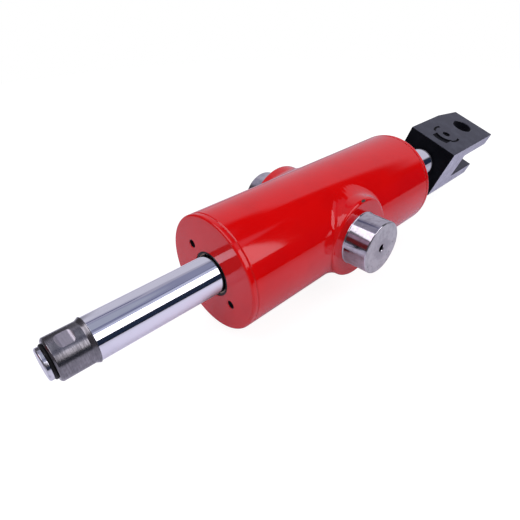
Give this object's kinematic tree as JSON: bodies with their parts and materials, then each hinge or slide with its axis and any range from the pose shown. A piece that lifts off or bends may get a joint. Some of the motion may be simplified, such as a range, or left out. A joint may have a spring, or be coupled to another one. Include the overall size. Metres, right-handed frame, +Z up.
{
  "type": "power steering cylinder",
  "caption": "Through-rod hydraulic steering cylinder held by welded trunnion pins; its chromed rod slides and turns, with a wrench-flat end and a fork clevis.",
  "frame": {"origin": "where the trunnion axis crosses the barrel axis", "axes": "+X along the rod towards its bright front end, +Y along the near trunnion pin, +Z up with the oil ports facing down"},
  "size_m": [0.5995, 0.16, 0.1175],
  "materials": {
    "red_paint": "gloss sprayed enamel",
    "chrome": "ground and hard chromed",
    "turned_steel": "fine turned",
    "bare_steel": "dull bare steel",
    "black_oxide": "black oxide, satin",
    "black_rubber": "smooth moulded",
    "bronze": "turned bronze",
    "seal_plastic": "machined seal plastic"
  },
  "bodies": {
    "barrel": {"barrel_tube": "red_paint", "front_gland": "red_paint", "rear_gland": "red_paint", "near_trunnion_boss": "red_paint", "far_trunnion_boss": "red_paint", "near_trunnion_pin": "turned_steel", "far_trunnion_pin": "turned_steel", "front_port_boss": "red_paint", "rear_port_boss": "red_paint", "front_wiper": "black_rubber", "rear_wiper": "black_rubber", "front_scraper": "bronze", "rear_scraper": "bronze", "front_rod_seal": "seal_plastic", "rear_rod_seal": "seal_plastic", "front_rod_bush": "bronze", "rear_rod_bush": "bronze", "front_gland_ring": "black_rubber", "rear_gland_ring": "black_rubber"},
    "piston_rings": {"piston_seal": "seal_plastic", "front_guide_ring": "bronze", "rear_guide_ring": "bronze"},
    "rod": {"piston_rod": "chrome", "piston": "turned_steel", "piston_inner_ring": "black_rubber", "front_snap_ring": "bare_steel", "rear_snap_ring": "bare_steel", "rod_end_adapter": "bare_steel", "rod_end_ring": "black_rubber", "clevis": "black_oxide", "clevis_set_screw": "bare_steel"}
  },
  "joints": [
    {"name": "rod_slide", "type": "slide", "parent": "barrel", "child": "piston_rings", "axis": [1, 0, 0], "range_m": [-0.072, 0.072]},
    {"name": "rod_turn", "type": "hinge", "parent": "piston_rings", "child": "rod", "pos_m": [0.002, 0, 0], "axis": [1, 0, 0], "continuous": true}
  ]
}
